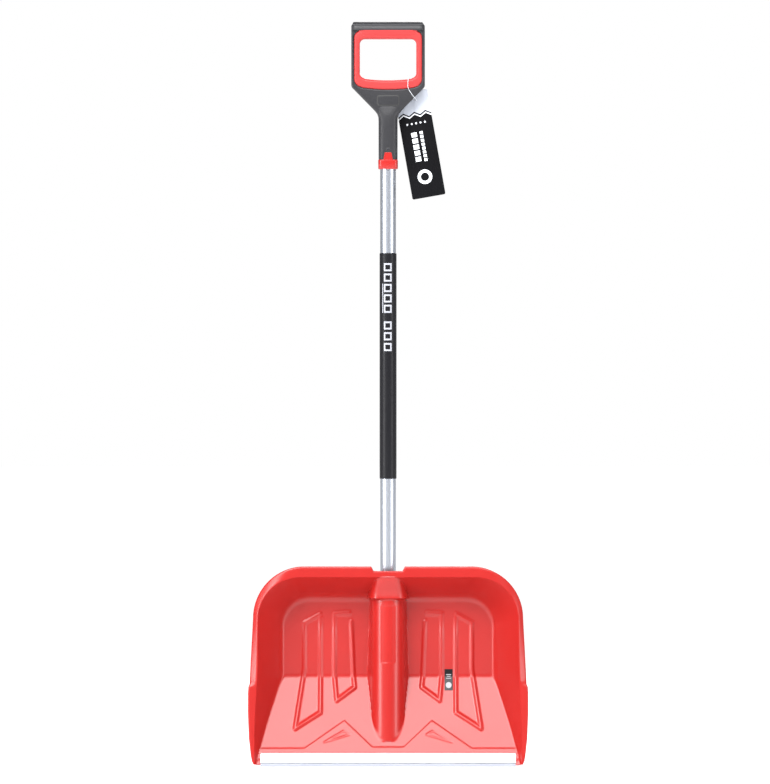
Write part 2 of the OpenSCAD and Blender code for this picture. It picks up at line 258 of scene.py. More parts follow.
def rounded_route(route, steps):
    """Points along a smooth curve through every point of the route."""
    p = [Vector(point) for point in route]
    last = len(p) - 1
    line = []
    for i in range(last):
        a, b, c, d = p[max(i - 1, 0)], p[i], p[i + 1], p[min(i + 2, last)]
        for k in range(steps):
            t = k / steps
            line.append(0.5 * (2 * b + (c - a) * t + (2 * a - 5 * b + 4 * c - d) * t * t
                               + (3 * b - a - 3 * c + d) * t ** 3))
    return line + [p[last]]


loop_line = [point * MM for point in rounded_route(LOOP_ROUTE, 6)]
curve = bpy.data.curves.new("filament_loop", "CURVE")
curve.dimensions = "3D"
curve.bevel_depth = LOOP_D / 2 * MM
curve.bevel_resolution = 4
curve.use_fill_caps = True
spline = curve.splines.new("POLY")
spline.points.add(len(loop_line) - 1)
for point, place in zip(spline.points, loop_line):
    point.co = (*place, 1)
filament = bpy.data.objects.new("filament_loop", curve)
bpy.context.collection.objects.link(filament)
curve.materials.append(nylon)
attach(filament, LOOP)
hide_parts("tag_loop")

# %% [markdown]
# The lock is the small moulded barrel that the two ends of the filament snap into. A box with generously
# rounded edges and a waist is enough at 3 mm across.

# %% The filament's lock
lock_low, lock_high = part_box("tag_lock")
lock_mid = (Vector(lock_low) + Vector(lock_high)) / 2
LOCK_HALF, LOCK_HALF_H = 1.6, 3.5
LOCK_SECTIONS = [(0.55, -1), (0.85, -0.86), (1, -0.6), (0.86, 0), (1, 0.6), (0.85, 0.86), (0.55, 1)]


def eased(value):
    """A sine or cosine made fuller, so that a circle turns into a square with round corners."""
    return math.copysign(abs(value) ** 0.6, value)


lock_rings = [[lock_mid + Vector((LOCK_HALF * MM * width * eased(math.cos(a)),
                                  LOCK_HALF * MM * width * eased(math.sin(a)), LOCK_HALF_H * MM * height))
               for a in round_angles(24)] for width, height in LOCK_SECTIONS]
lock = skin("filament_lock", lock_rings, nylon, LOOP, "clear_nylon", "tag_lock")

# %% [markdown]
# The scoop is one injection moulding: a flat plate that rises at 30 degrees, an upright floor behind a
# crease, and walls that flare out to a rim leaning back by 7 degrees. Because every wall has draft, its
# front can be written as one function, the depth y at each x and z, and a fine grid then follows it.
# Outlines are rounded U shapes, and a wall point is found by how far it lies between two of them.

# %% The scoop's outlines and depths in millimetres
SCOOP_H = 355.0
CREASE_Z = 157.0
PLATE_ANGLE = math.radians(30)
PLATE_SLOPE = math.tan(PLATE_ANGLE)
FLOOR_Y = CREASE_Z * PLATE_SLOPE
SHAFT_Y = 78.0
RIM_LEAD = 4.0
RIM_SLOPE = math.tan(math.radians(7))
FILLET = 12.0
CREASE_ROUND = 2.5
RIM_U = (232.5, 336.0, 76.0)      # each outline is (half width, top, corner radius)
WALL_U = (197.0, 307.0, 58.0)
FLOOR_U = (184.0, 290.0, 45.0)
CHEEK_INNER = 238.0
CHEEK_TOP = 143.0


def smooth_step(low, high, value):
    """0 below low, 1 above high and an even S between them."""
    t = np.clip((value - low) / (high - low), 0, 1)
    return t * t * (3 - 2 * t)


def nearer(a, b, round_by):
    """The smaller of two depths, with the corner between them rounded off."""
    mix = np.clip(0.5 + 0.5 * (b - a) / round_by, 0, 1)
    return b + (a - b) * mix - round_by * mix * (1 - mix)


def u_inside(x, z, half, top, radius):
    """Distance outside a rounded U outline, negative inside it."""
    across, up = np.abs(x) - (half - radius), z - (top - radius)
    corner = np.hypot(np.maximum(across, 0), np.maximum(up, 0)) + np.minimum(np.maximum(across, up), 0)
    return corner - radius


def rim_half(z):
    """Half width inside the rim: wider at the cheeks, where there is no flange."""
    return RIM_U[0] + (CHEEK_INNER - RIM_U[0]) * (1 - smooth_step(60, 190, z))


def between(x, z, outer, inner):
    """How far a point lies from the outer outline, 0, to the inner one, 1, found by halving."""
    low, high = np.full_like(x, -0.2), np.full_like(x, 2.5)
    for _ in range(24):
        mid = (low + high) / 2
        shape = [o + (i - o) * mid for o, i in zip(outer, inner)]
        outside = u_inside(x, z, *shape) > 0
        high = np.where(outside, mid, high)
        low = np.where(outside, low, mid)
    return (low + high) / 2


def rim_y(z):
    """Depth of the leaning rim."""
    return z * RIM_SLOPE - RIM_LEAD


print("floor depth:", round(FLOOR_Y, 1), "mm, rim depth at the top:", round(float(rim_y(SCOOP_H)), 1), "mm")

# %% [markdown]
# On the grid come the raised details: the tapering spine over the socket, the two bent ribs on each side,
# the ledge that runs in a chevron above the wear strip and two small triangles. Each is a height over the
# base surface. A rib's height depends only on the distance to its centre line, which gives it a soft
# round section everywhere, even through its bends.

# %% Heights of the spine, ribs and ledge
OUTER_RIB = [(122, 268), (150, 253), (150, 171), (152, 157), (166, 66), (121, 94), (121, 157), (121, 262)]
INNER_RIB = [(70, 270), (96, 269), (96, 157), (92, 115), (60, 138), (62, 157), (66, 255)]
LEDGE = [(0, 34), (28, 34), (78, 80), (149, 32), (240, 32)]
TRIANGLE = [(80, 62), (68, 55.5), (114, 42), (80, 62)]
SPINE_SLOPE = math.tan(math.radians(5.8))
SPINE_FOOT = 42
SPINE_R = 30.0
COLLAR_Z = 298
RIB_H, RIB_REACH = 3.0, 4.7
LEDGE_H, TRIANGLE_DEPTH = 1.2, 0.7


def line_distance(x, z, points):
    """Distance from each grid point to a line of straight pieces."""
    best = np.full_like(x, 1e9)
    for (ax, az), (bx, bz) in zip(points, points[1:]):
        dx, dz = bx - ax, bz - az
        t = np.clip(((x - ax) * dx + (z - az) * dz) / (dx * dx + dz * dz), 0, 1)
        best = np.minimum(best, np.hypot(x - ax - t * dx, z - az - t * dz))
    return best


def rib_height(x, z):
    """Height of the ribs, which fade a little towards their upper ends."""
    side = np.abs(x)
    distance = np.minimum(line_distance(side, z, OUTER_RIB), line_distance(side, z, INNER_RIB))
    fade = 1 - 0.45 * smooth_step(225, 266, z)
    return RIB_H * fade * np.clip(1.09 - np.hypot(distance / RIB_REACH, 0.10), 0, 1)


def ledge_height(x, z):
    """Height of the raised area under the chevron, less the outlines of the triangles."""
    side = np.abs(x)
    line = np.interp(side, [p[0] for p in LEDGE], [p[1] for p in LEDGE])
    groove = 1 - smooth_step(0.5, 2.0, line_distance(side, z, TRIANGLE))
    raised = (1 - smooth_step(-1.2, 1.2, z - line)) * smooth_step(9, 15, z)
    return LEDGE_H * raised - TRIANGLE_DEPTH * groove


def spine_axis(z):
    """Depth of the leaning line that the spine is round about."""
    return SHAFT_Y + 2 + (z - 300) * SPINE_SLOPE


# %% [markdown]
# The spine's front is an ellipse about its own leaning line, and the deeper collar over the socket's mouth
# is blended in with a short step. Where spine and plate meet, the smaller depth wins, with a soft corner.

# %% The scoop's front as one function
def spine_y(x, z):
    """Depth of the spine's rounded front, with the deeper collar at its upper end."""
    collar = smooth_step(COLLAR_Z - 2.5, COLLAR_Z, z)
    half = SPINE_R + collar * (5.5 - 6.5 * np.clip((z - COLLAR_Z) / 36, 0, 1))
    deep = SPINE_R + collar * (4.0 + 12.5 * smooth_step(COLLAR_Z, COLLAR_Z + 42, z))
    inside = np.clip(1 - np.abs(x / half) ** (2 + 2.2 * collar), 0, 1)
    steep = np.where(np.abs(x) < half, 0, (np.abs(x) - half) * 4)
    panel = 0.5 * smooth_step(0, 1.5, 13 - np.abs(x))
    panel = panel * smooth_step(182, 184, z) * (1 - smooth_step(284, 286, z))
    cut_off = 3.0 * np.maximum(0, SPINE_FOOT + 2 - z)
    return spine_axis(z) - deep * np.sqrt(inside) + steep + panel + cut_off


def scoop_y(x, z):
    """Depth of the scoop's whole front surface."""
    half = rim_half(z)
    wall = between(x, z, (half, RIM_U[1], RIM_U[2]), WALL_U)
    lower = between(x, z, WALL_U, FLOOR_U)
    wall_y = rim_y(z) + (FLOOR_Y - FILLET - rim_y(z)) * np.clip(wall, 0, 1)
    shell = np.where(wall < 1, wall_y, FLOOR_Y - FILLET + FILLET * np.sin(np.pi / 2 * np.clip(lower, 0, 1)))
    base = nearer(shell, z * PLATE_SLOPE, CREASE_ROUND)
    on_floor = smooth_step(0.9, 1.3, wall) + (z < CREASE_Z) * smooth_step(0, 1.5, shell - z * PLATE_SLOPE)
    raised = (rib_height(x, z) + ledge_height(x, z)) * np.clip(on_floor, 0, 1)
    return nearer(base - raised, spine_y(x, z), 3.0)


print("crest of the spine at 200 mm:", round(float(spine_y(np.array(0.0), np.array(200.0))), 1), "mm deep")

# %% [markdown]
# The grid's rows run across the scoop. Below the corners they are evenly spaced, and round the corners
# they follow the arc by equal angles, so the mesh edge lies exactly on the rim. Beside every row lies the
# place on the outer edge that the flange will reach.

# %% The scoop's outer edge
COLUMNS = 380
STRAIGHT_ROWS = 210
CORNER_ROWS = 60
FLANGE_FOOT_Z = 4.0
OUTER_FOOT_HALF, OUTER_HALF, OUTER_RADIUS = 247, 241, 92.0
OUTER_STRAIGHT_TOP = 263
OUTER_EVEN_Z = 150
CHEEK_OUTER = [(4, 239.5), (10, 242.5), (20, 244.5), (50, 248), (95, 249.8), (130, 249.8), (143, 248.8)]


def cheek_outer(z):
    """Half width outside the cheeks and the rim, with the step where the flange begins."""
    cheek = np.interp(z, [up for up, _ in CHEEK_OUTER], [half for _, half in CHEEK_OUTER])
    narrowing = (OUTER_FOOT_HALF - OUTER_HALF) * np.clip((z - CHEEK_TOP) / 120, 0, 1)
    return cheek + (OUTER_FOOT_HALF - narrowing - cheek) * smooth_step(CHEEK_TOP - 2, CHEEK_TOP + 3, z)


def edge_places():
    """For every grid row: its height, its half width, and the rim's outer point beside it."""
    half, top, radius = RIM_U
    straight_top = top - radius
    stretch = (OUTER_STRAIGHT_TOP - OUTER_EVEN_Z) / (straight_top - OUTER_EVEN_Z)
    places = []
    for k in range(STRAIGHT_ROWS):
        z = FLANGE_FOOT_Z + (straight_top - FLANGE_FOOT_Z) * k / STRAIGHT_ROWS
        outer_z = z if z < OUTER_EVEN_Z else OUTER_EVEN_Z + (z - OUTER_EVEN_Z) * stretch
        places.append((z, float(rim_half(z)), float(cheek_outer(outer_z)), outer_z))
    for k in range(CORNER_ROWS + 1):
        a = math.pi / 2 * k / CORNER_ROWS
        places.append((straight_top + radius * math.sin(a), half - radius * (1 - math.cos(a)),
                       OUTER_HALF - OUTER_RADIUS * (1 - math.cos(a)),
                       OUTER_STRAIGHT_TOP + OUTER_RADIUS * math.sin(a)))
    return places


places = edge_places()
print("rows:", len(places), "- widest outer edge:", round(2 * max(place[2] for place in places), 1), "mm")

# %% [markdown]
# Each grid point gets its depth from the function above, all at once as arrays, which is many times
# faster than asking for one point after another.

# %% The scoop's sheet
share = np.linspace(-1, 1, COLUMNS + 1)
grid_x = np.array([share * half for _, half, _, _ in places])
grid_z = np.array([np.full(COLUMNS + 1, z) for z, _, _, _ in places])
grid_y = scoop_y(grid_x, grid_z)
rows, columns = grid_x.shape
points = [(grid_x[r, c] * MM, grid_y[r, c] * MM, grid_z[r, c] * MM)
          for r in range(rows) for c in range(columns)]
faces = [(r * columns + c, r * columns + c + 1, (r + 1) * columns + c + 1, (r + 1) * columns + c)
         for r in range(rows - 1) for c in range(columns - 1)]
print("sheet:", len(faces), "faces, deepest", round(float(grid_y.max()), 1), "mm")

# %% [markdown]
# From the grid's edge the flange is added ring by ring: flat, rounded over, then turned back as a lip.
# Its upper edge dips in the middle, where the shaft passes.

# %% The scoop's flange and lip
NOTCH_DEPTH = 8.0
left_edge = [(r * columns, -place[2], place[3]) for r, place in enumerate(places)]
right_edge = [(r * columns + columns - 1, place[2], place[3]) for r, place in enumerate(places)]
top_outer = places[-1][2]
top_edge = []
for c in range(1, columns - 1):
    outer_x = share[c] * top_outer
    dip = NOTCH_DEPTH * (1 - float(smooth_step(25, 31, abs(outer_x))))
    top_edge.append(((rows - 1) * columns + c, outer_x, SCOOP_H - dip))
edge_line = left_edge + top_edge + right_edge[::-1]

# Each step is (share of the way out, depth behind the rim at the top, depth behind it at the sides).
FLANGE_STEPS = [(0.12, 0.0, 0.1), (0.25, 0.0, 0.9), (0.5, 0.0, 2.6), (0.80, 0.0, 4.7), (0.90, 0.25, 5.5),
                (0.965, 0.9, 6.3), (1.0, 2.2, 7.1), (1.0, 5.0, 8.0), (1.0, 8.0, 8.9)]
starts = [[index for index, _, _ in edge_line]]
for share_out, flat_back, side_back in FLANGE_STEPS:
    starts.append([len(points) + k for k in range(len(edge_line))])
    for index, outer_x, outer_z in edge_line:
        inner = points[index]
        x = inner[0] / MM + (outer_x - inner[0] / MM) * share_out
        z = inner[2] / MM + (outer_z - inner[2] / MM) * share_out
        side = float(smooth_step(175, 225, abs(outer_x)) * smooth_step(140, 156, z))
        back = flat_back + (side_back - flat_back) * side
        points.append((x * MM, (float(rim_y(z)) + back) * MM, z * MM))
for near, far in zip(starts, starts[1:]):
    for k in range(len(edge_line) - 1):
        faces.append((near[k], far[k], far[k + 1], near[k + 1]))
print("flange:", len(FLANGE_STEPS), "rings of", len(edge_line), "points")

# %% [markdown]
# A moulding has nearly the same thickness everywhere, so a Solidify modifier can give the sheet its wall.
# The wall grows away from the open side, which needs the faces to look towards -Y first.

# %% The scoop's wall
SHEET_T = 2.7
SCOOP_SHARP = 50
scoop = new_piece("scoop", points, faces, sharp=SCOOP_SHARP)
solid = scoop.modifiers.new("wall", "SOLIDIFY")
solid.thickness = SHEET_T * MM
solid.offset = -1
looks_back = sum(p.normal.y * p.area for p in scoop.data.polygons) > 0
if looks_back:
    scoop.data.flip_normals()
apply_modifiers(scoop)
shade(scoop, SCOOP_SHARP)
dress(scoop, scoop_red, SHOVEL, "red_plastic", "blade")

# %% [markdown]
# Behind the spine the moulding is hollow, and the shaft goes into a round socket that thin webs tie to
# the spine. The socket is a turned tube, and each web is a flat ring stretched from the socket to the
# wall around it, whose distance follows from the spine's own radius.

# %% The socket and its webs behind the scoop
SOCKET_LOW, SOCKET_HIGH = 161.0, 343.0
SOCKET_R, BORE_R, DRAIN_R = 18.0, 14.05, 3
SPINE_INNER_R = 28.5
WEB_T, WEB_INNER_R = 2.5, 16.5
WEB_PLACES = [205, 245, 285]
profile = [(BORE_R, SOCKET_HIGH), (SOCKET_R - 1, SOCKET_HIGH), (SOCKET_R, SOCKET_HIGH - 1),
           (SOCKET_R, SOCKET_LOW + 2), (SOCKET_R - 2, SOCKET_LOW), (DRAIN_R, SOCKET_LOW),
           (DRAIN_R, SOCKET_LOW + 3), (BORE_R, SOCKET_LOW + 4), (BORE_R, SOCKET_HIGH)]
skin("shaft_socket", turned(profile, 64, SHAFT_Y), scoop_red, SHOVEL, "red_plastic", "blade",
     sharp=35, closed_ends=False)


def web_reach(a, axis, back):
    """How far from the shaft's axis a web may go at one angle before it meets a wall, found by halving."""
    low, high = WEB_INNER_R, 60.0
    for _ in range(20):
        mid = (low + high) / 2
        x, y = math.cos(a) * mid, SHAFT_Y + math.sin(a) * mid
        inside = math.hypot(x, y - axis) < SPINE_INNER_R and (y <= axis or y < back)
        low, high = (mid, high) if inside else (low, mid)
    return max(low, WEB_INNER_R + 0.2)


def web(name, z):
    """A web at height z between the socket and the spine's inner wall."""
    back = min(FLOOR_Y + 1.5, z * PLATE_SLOPE + 1.5)
    near, far = [], []
    for a in round_angles(72):
        reach = web_reach(a, spine_axis(z), back)
        near.append((math.cos(a) * WEB_INNER_R, SHAFT_Y + math.sin(a) * WEB_INNER_R))
        far.append((math.cos(a) * reach, SHAFT_Y + math.sin(a) * reach))
    levels = [(near, z), (far, z), (far, z + WEB_T), (near, z + WEB_T), (near, z)]
    rings = [[(x * MM, y * MM, level * MM) for x, y in ring] for ring, level in levels]
    skin(name, rings, scoop_red, SHOVEL, "red_plastic", "blade", sharp=30, closed_ends=False)


for number, z in enumerate(WEB_PLACES):
    web(f"socket_web_{number + 1}", z)

# %% [markdown]
# The wear strip is a folded aluminium profile that grips the plate's lower edge. Its section is drawn
# once, with rounded folds, and swept across. Small crimps in its front, pressed in after it is pushed on,
# are what keep it there, so they are modelled as shallow dimples.

# %% The wear strip
STRIP_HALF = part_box("wear_strip")[1][0] / MM
STRIP_STATIONS = 227
STRIP_FACE = -1.5
CRIMP_PITCH, CRIMP_DEPTH, CRIMP_REACH = 75.0, 0.6, 3.2
CRIMPS = [CRIMP_PITCH * (k - 2.5) for k in range(6)]


def strip_section(x):
    """The profile at one place along the strip, as (along the plate, out of the plate) in millimetres."""
    dent = CRIMP_DEPTH * sum(math.exp(-((x - crimp) / CRIMP_REACH) ** 2) for crimp in CRIMPS)
    slot = [(26.6, -1.2), (27.0, -0.2), (4.4, -0.2), (4.4, 3.2), (27.0, 3.2)]
    back = [(26.9, 4.2), (26.2, 4.45), (18, 4.5), (2.7, 4.5)]
    nose = [(1.8, 3.2), (2.2, 2.4), (3.2, 1.2), (4.1, 0.1), (5.2, -0.7), (7.5, -1.3)]
    front = [(11.0, STRIP_FACE), (13.0, STRIP_FACE + 0.75 * dent), (15.0, STRIP_FACE + dent),
             (17.0, STRIP_FACE + 0.75 * dent), (19.0, STRIP_FACE), (26.0, STRIP_FACE)]
    return slot + back + nose + front


lean = Matrix.Rotation(-PLATE_ANGLE, 3, "X")
strip_rings = []
for k in range(STRIP_STATIONS):
    x = -STRIP_HALF + 2 * STRIP_HALF * k / (STRIP_STATIONS - 1)
    ring = [lean @ Vector((x, out, up)) for up, out in strip_section(x)]
    strip_rings.append([(p.x * MM, p.y * MM, max(p.z, 0.0) * MM) for p in ring])
skin("wear_strip_alu", strip_rings, strip_alu, SHOVEL, "strip_metal", "wear_strip", sharp=30)

# %% [markdown]
# A painted shade darkens the lowest few millimetres of the metal: a range over the height mixes a
# darker blue-grey into the finish there, standing in for the shade and dark reflection along the strip's
# foot, so the band follows the edge whatever the shape does.

# %% The strip's painted shade along its foot
SHADE_TOP, SHADE_FULL = 7.5, 4.5
nodes, links = strip_alu.node_tree.nodes, strip_alu.node_tree.links
spot = nodes.new("ShaderNodeSeparateXYZ")
links.new(next(n for n in nodes if n.type == "TEX_COORD").outputs["Object"], spot.inputs["Vector"])
# This range is 1 at the foot and fades out upwards; the darker blue-grey it mixes in is painted shade at the
# strip's foot.
foot_shade = nodes.new("ShaderNodeMapRange")
foot_shade.inputs["From Min"].default_value = SHADE_TOP * MM
foot_shade.inputs["From Max"].default_value = SHADE_FULL * MM
links.new(spot.outputs["Z"], foot_shade.inputs["Value"])
shade_mix = nodes.new("ShaderNodeMix")
shade_mix.data_type = "RGBA"
shade_mix.inputs["B"].default_value = (0.40, 0.43, 0.50, 1)
shader = nodes["Principled BSDF"]
links.new(foot_shade.outputs["Result"], shade_mix.inputs["Factor"])
links.new(shader.inputs["Base Color"].links[0].from_socket, shade_mix.inputs["A"])
links.new(shade_mix.outputs["Result"], shader.inputs["Base Color"])
print("strip painted_shade below", SHADE_TOP, "mm")

# %% [markdown]
# The shaft is a drawn tube with a shrunk-on black sleeve. A drawn tube has faint lengthwise lines, which
# its finish gives, and the sleeve's ends are rolled slightly inwards. The sleeve carries a printed panel
# on its front, drawn later by a mask in the material, because ink has no thickness worth modelling.

# %% The tube, its plugs and the sleeve
tube_low, tube_high = (corner[2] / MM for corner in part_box("shaft_tube"))
TUBE_R, TUBE_IN = 14.0, 12.8
BURR = 0.3
SHAFT_SIDES = 96


def steps_between(radius, low, high, count):
    """Profile points that divide a long straight wall into even parts."""
    return [(radius, low + (high - low) * k / count) for k in range(1, count)]


tube_profile = [(TUBE_IN, tube_low + BURR), (TUBE_IN + BURR, tube_low), (TUBE_R - BURR, tube_low),
                (TUBE_R, tube_low + BURR)]
tube_profile += steps_between(TUBE_R, tube_low, tube_high, 12)
tube_profile += [(TUBE_R, tube_high - BURR), (TUBE_R - BURR, tube_high), (TUBE_IN + BURR, tube_high),
                 (TUBE_IN, tube_high - BURR), (TUBE_IN, tube_low + BURR)]
skin("shaft_alu_tube", turned(tube_profile, SHAFT_SIDES, SHAFT_Y), tube_alu, SHOVEL, "tube_metal",
     "shaft_tube", sharp=50, closed_ends=False)

sleeve_low, sleeve_high = (corner[2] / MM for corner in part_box("shaft_sleeve"))
SLEEVE_R = (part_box("shaft_sleeve")[1][0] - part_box("shaft_sleeve")[0][0]) / 2 / MM
sleeve_profile = [(TUBE_R, sleeve_low + 0.2), (TUBE_R + 0.5, sleeve_low), (SLEEVE_R - 0.5, sleeve_low + 0.2),
                  (SLEEVE_R - 0.1, sleeve_low + 1.0), (SLEEVE_R, sleeve_low + 2.2)]
sleeve_profile += steps_between(SLEEVE_R, sleeve_low, sleeve_high, 16)
sleeve_profile += [(SLEEVE_R, sleeve_high - 2.2), (SLEEVE_R - 0.1, sleeve_high - 1.0),
                   (SLEEVE_R - 0.5, sleeve_high - 0.2), (TUBE_R + 0.5, sleeve_high),
                   (TUBE_R, sleeve_high - 0.2), (TUBE_R, sleeve_low + 0.2)]
sleeve_black = finish("sleeve_black", (0.010, 0.010, 0.012), 0.38, grain=1100, bump=0.20,
                      Specular_IOR_Level=0.20)
sleeve = skin("black_sleeve", turned(sleeve_profile, SHAFT_SIDES, SHAFT_Y), sleeve_black, SHOVEL,
              "black_sleeve", "shaft_sleeve", sharp=60, closed_ends=False)
for node_name in ("shaft_plug_bottom", "shaft_plug_top"):
    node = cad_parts[node_name]
    node.data.materials.clear()
    node.data.materials.append(plug_black)
print("tube", tube_low, "to", tube_high, "and sleeve", sleeve_low, "to", sleeve_high)

# %% [markdown]
# The D-grip is cut from a few plain ideas: a round hand bar, a flat web and frame with softly rounded
# edges, and a square neck with round corners that swells into the web. Flat parts with round edges are
# quickest as filled 2-D curves with a bevel, which also take holes, and the neck is a loft.

# %% Flat shapes with rounded edges
ARCH_RISE = 4
OPENING_HALF = 50.5
STAND_UP = Matrix.Rotation(math.radians(90), 4, "X")


def arc_points(cx, cz, r, start, end, steps=10):
    """Points along an arc between two angles in degrees."""
    return [(cx + r * math.cos(math.radians(start + (end - start) * k / steps)),
             cz + r * math.sin(math.radians(start + (end - start) * k / steps))) for k in range(steps + 1)]


def both_sides(half):
    """A whole outline from its right half."""
    return half + [(-x, z) for x, z in reversed(half)]


def ring_outline(half, low, top, r_low, r_top):
    """A round-cornered ring whose lower edge arches up towards its ends."""
    bottom = [(x, low + ARCH_RISE * (x / OPENING_HALF) ** 2)
              for x in [(half - r_low) * k / 12 for k in range(13)]]
    return both_sides(bottom + arc_points(half - r_low, low + ARCH_RISE + r_low, r_low, -80, 0)
                      + arc_points(half - r_top, top - r_top, r_top, 0, 90))


def rounded_plate(name, outlines, y_front, y_back, round_by, detail=5):
    """A flat part standing in the XZ plane between two depths, with its outer and inner edges rounded."""
    flat = bpy.data.curves.new(name, "CURVE")
    flat.dimensions = "2D"
    flat.fill_mode = "BOTH"
    flat.extrude = ((y_back - y_front) / 2 - round_by) * MM
    flat.bevel_depth = round_by * MM
    flat.bevel_resolution = detail
    flat.offset = -round_by * MM
    for outline in outlines:
        spline = flat.splines.new("POLY")
        spline.points.add(len(outline) - 1)
        spline.use_cyclic_u = True
        for point, (x, z) in zip(spline.points, outline):
            point.co = (x * MM, z * MM, 0, 1)
    holder = bpy.data.objects.new(name, flat)
    bpy.context.collection.objects.link(holder)
    bpy.context.view_layer.update()
    made = bpy.data.meshes.new_from_object(holder.evaluated_get(bpy.context.evaluated_depsgraph_get()))
    bpy.data.objects.remove(holder)
    made.transform(Matrix.Translation((0, (y_front + y_back) / 2 * MM, 0)) @ STAND_UP)
    weld(made, 2e-6)
    return placed(name, made, 35)


# %% [markdown]
# The frame has the outline of the whole web, and its hole is the liner's outer edge, so the soft liner
# shows as a ring let into it.

# %% The grip's frame
GRIP_TOP, GRIP_HALF = 1329.0, 65.8
grip_shape = both_sides([(15, 1150), (16.6, 1159), (18.4, 1163.4), (21, 1167)]
                        + arc_points(GRIP_HALF - 8, 1216, 8, -45, 0)
                        + arc_points(GRIP_HALF - 6, GRIP_TOP - 9, 6, 0, 90))
liner_hole = ring_outline(60.6, 1207.7, 1313.4, 15.5, 14.5)
frame_plate = rounded_plate("grip_frame", [grip_shape, liner_hole], SHAFT_Y - 12, SHAFT_Y + 12, 3.2)
dress(frame_plate, grip_grey, SHOVEL, "grey_plastic", "handle_body")

# %% [markdown]
# The hand bar is a round bar with domed ends whose lower half the liner covers. The liner is the same kind
# of rounded flat ring with a much bigger edge radius, so its section turns over into the opening, and the
# part under the bar is fuller, as a hand wants it.

# %% The hand bar and the soft liner
BAR_R, BAR_HALF = 15.5, 63.5
BAR_CUT = 1313.6
SWELL_HALF = 52


def bar_rings(radius, half, z_mid, low_cut):
    """Rings of a bar along X with domed ends, of which only what lies above low_cut is kept."""
    stations = [(-half, 0.80), (-half + 0.8, 0.93), (-half + 2.4, 1.0)]
    stations += [(-half + 2.4 + (2 * half - 4.8) * k / 20, 1.0) for k in range(1, 20)]
    stations += [(half - 2.4, 1.0), (half - 0.8, 0.93), (half, 0.80)]
    rings = []
    for x, share_r in stations:
        rings.append([(x * MM, (SHAFT_Y + radius * share_r * math.cos(a)) * MM,
                       max(z_mid + radius * share_r * math.sin(a), low_cut) * MM) for a in round_angles(64)])
    return rings


skin("hand_bar", bar_rings(BAR_R, BAR_HALF, GRIP_TOP - BAR_R, BAR_CUT), grip_grey, SHOVEL,
     "grey_plastic", "handle_body")
opening = ring_outline(OPENING_HALF, 1224, 1298, 9, 9)
liner = rounded_plate("soft_liner", [ring_outline(61.3, 1207, 1314, 16, 15), opening], SHAFT_Y - 12.6,
                      SHAFT_Y + 12.6, 5.0, detail=8)
dress(liner, liner_red, SHOVEL, "soft_red", "grip_liner")


def under_bar():
    """The fuller part of the liner that wraps the lower half of the hand bar."""
    rings = []
    for k in range(41):
        x = -SWELL_HALF + 2 * SWELL_HALF * k / 40
        swell = math.cos(math.pi / 2 * min(1, abs(x) / SWELL_HALF) ** 6) * 0.999 + 0.001
        ring = []
        for n in range(33):
            a = math.pi * n / 32
            y = SHAFT_Y + (12.4 + 3.0 * swell) * math.cos(a)
            z = BAR_CUT - 15.4 * math.sin(a) ** 0.8
            ring.append((x * MM, y * MM, z * MM))
        rings.append(ring)
    return rings


skin("liner_under_bar", under_bar(), liner_red, SHOVEL, "soft_red", "grip_liner", sharp=45)

# %% [markdown]
# The neck starts as a rounded square round the tube and spreads into the flat web. Its sections are
# superellipses, which give a square with soft corners from one formula. The red collar under the neck is
# made in the same way, and two flat tongues reach up from it over the neck.

# %% The neck and its collar
def soft_square(half_x, half_y, power, z):
    """A ring round the shaft: power 2 is an ellipse, and more makes it squarer."""
    ring = []
    for a in round_angles(72):
        c, s = math.cos(a), math.sin(a)
        ring.append((half_x * math.copysign(abs(c) ** (2 / power), c) * MM,
                     (SHAFT_Y + half_y * math.copysign(abs(s) ** (2 / power), s)) * MM, z * MM))
    return ring


NECK_SECTIONS = [(15.4, 15.4, 3.4, 1082.2), (16.6, 16.6, 3.4, 1082.4), (17, 17, 3.4, 1083.6),
                 (17, 17, 3.4, 1110), (17, 17, 3.2, 1140), (17, 16.6, 3.0, 1150), (17.4, 15.9, 3.0, 1158),
                 (19.5, 15.1, 3.0, 1164), (23, 14.0, 3.0, 1168.5), (27, 12.9, 3.2, 1173),
                 (31, 12.05, 3.4, 1177), (34, 11.0, 3.6, 1180)]
skin("grip_neck", [soft_square(*section) for section in NECK_SECTIONS], grip_grey, SHOVEL,
     "grey_plastic", "handle_body", sharp=50)

COLLAR_SECTIONS = [(15.2, 15.2, 4, 1065.2), (17.0, 17.0, 4.4, 1065.2), (17.7, 17.7, 4.6, 1066.4),
                   (17.7, 17.7, 4.6, 1080.6), (17.3, 17.3, 4.6, 1081.9), (15.2, 15.2, 4, 1082)]
skin("red_collar", [soft_square(*section) for section in COLLAR_SECTIONS], scoop_red, SHOVEL,
     "red_plastic", "handle_collar", sharp=50)
NECK_FRONT, NECK_BACK = SHAFT_Y - 17.0, SHAFT_Y + 15.6
TONGUE_SHOULDER = 1093.4
for side, y_face in (("front", NECK_FRONT), ("back", NECK_BACK)):
    shape = both_sides([(8.8, 1079), (8.4, 1082), (6.4, TONGUE_SHOULDER)]
                       + arc_points(4.8, TONGUE_SHOULDER, 1.5, 0, 90, 4))
    tongue = rounded_plate(f"collar_tongue_{side}", [shape], y_face - 0.35, y_face + 1.75, 0.5, detail=3)
    dress(tongue, scoop_red, SHOVEL, "red_plastic", "handle_collar")
